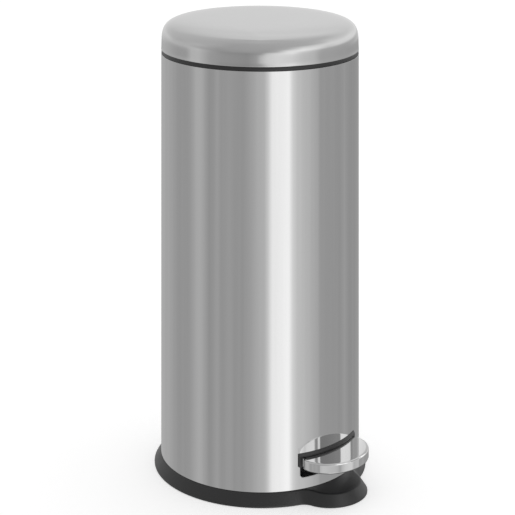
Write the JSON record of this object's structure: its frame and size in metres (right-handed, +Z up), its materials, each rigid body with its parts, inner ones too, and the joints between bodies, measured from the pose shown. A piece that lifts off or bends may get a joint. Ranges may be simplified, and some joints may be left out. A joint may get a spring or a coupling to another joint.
{
  "type": "pedal bin",
  "caption": "Round steel pedal bin with a domed lid on a rear hinge, a lever and rod mechanism, a plastic foot ring and a lift-out bucket with a bail handle.",
  "frame": {"origin": "centre of the base's flat underside, on the axis of the cylindrical body, at floor level", "axes": "+Z up along the body's axis; -Y towards the pedal; +Y towards the lid's hinge; +X to the right seen from the pedal side"},
  "size_m": [0.3092, 0.3513, 0.6503],
  "materials": {
    "brushed_steel": "stainless sheet with a fine vertical satin grain, half glossy",
    "polished_steel": "polished stainless pressing, mirror-like",
    "zinc_steel": "dull zinc plating on the hidden mechanism",
    "black_plastic": "moulded black plastic with a fine matt texture",
    "bucket_plastic": "moulded dark grey polypropylene",
    "rubber": "dull black rubber"
  },
  "bodies": {
    "bin": {"base": "black_plastic", "foot_pad_1": "rubber", "foot_pad_2": "rubber", "foot_pad_3": "rubber", "foot_pad_4": "rubber", "foot_pad_5": "rubber", "pivot_bracket_right": "zinc_steel", "axle_clip_right": "zinc_steel", "pivot_bracket_left": "zinc_steel", "axle_clip_left": "zinc_steel", "pedal_axle": "zinc_steel", "bracket_screw_1": "zinc_steel", "bracket_screw_2": "zinc_steel", "bracket_screw_3": "zinc_steel", "bracket_screw_4": "zinc_steel", "outer_body": "brushed_steel", "rim_ring": "black_plastic", "pedal_trim": "black_plastic", "rod_guide_lower": "black_plastic", "guide_rivet_lower": "zinc_steel", "rod_guide_upper": "black_plastic", "guide_rivet_upper": "zinc_steel", "hinge_housing": "black_plastic", "hinge_pin": "zinc_steel", "hinge_screw_1": "zinc_steel", "hinge_screw_2": "zinc_steel", "hinge_screw_3": "zinc_steel", "hinge_screw_4": "zinc_steel", "inner_bucket": "bucket_plastic"},
    "lid": {"lid_shell": "brushed_steel", "lid_liner": "black_plastic", "lid_buffer_1": "rubber", "lid_buffer_2": "rubber", "lid_buffer_3": "rubber", "lid_bracket": "zinc_steel", "lid_bracket_screw_1": "zinc_steel", "lid_bracket_screw_2": "zinc_steel"},
    "rod": {"lift_rod": "zinc_steel", "rod_clip_bottom": "zinc_steel", "rod_clip_top": "zinc_steel"},
    "pedal": {"pedal_cover": "polished_steel", "pedal_core": "black_plastic", "pedal_lever": "zinc_steel", "pedal_screw_1": "zinc_steel", "pedal_screw_2": "zinc_steel"},
    "bail": {"bail_wire": "zinc_steel", "bail_grip": "black_plastic"}
  },
  "joints": [
    {"name": "lid_hinge", "type": "hinge", "parent": "bin", "child": "lid", "pos_m": [0, 0.15, 0.607], "axis": [-1, 0, 0], "range_deg": [0, 80]},
    {"name": "rod_lift", "type": "slide", "parent": "bin", "child": "rod", "axis": [0, 0, 1], "range_m": [0, 0.0236]},
    {"name": "pedal_press", "type": "hinge", "parent": "bin", "child": "pedal", "pos_m": [0, -0.045, 0.045], "axis": [1, 0, 0], "range_deg": [0, 7.5]},
    {"name": "bail_swing", "type": "hinge", "parent": "bin", "child": "bail", "pos_m": [0, 0, 0.59], "axis": [1, 0, 0], "range_deg": [-80, 80]}
  ],
  "couplings": [
    {"joint": "rod_lift", "follows": "lid_hinge", "m_per_rad": 0.016827},
    {"joint": "pedal_press", "follows": "lid_hinge", "ratio": 0.092966}
  ]
}
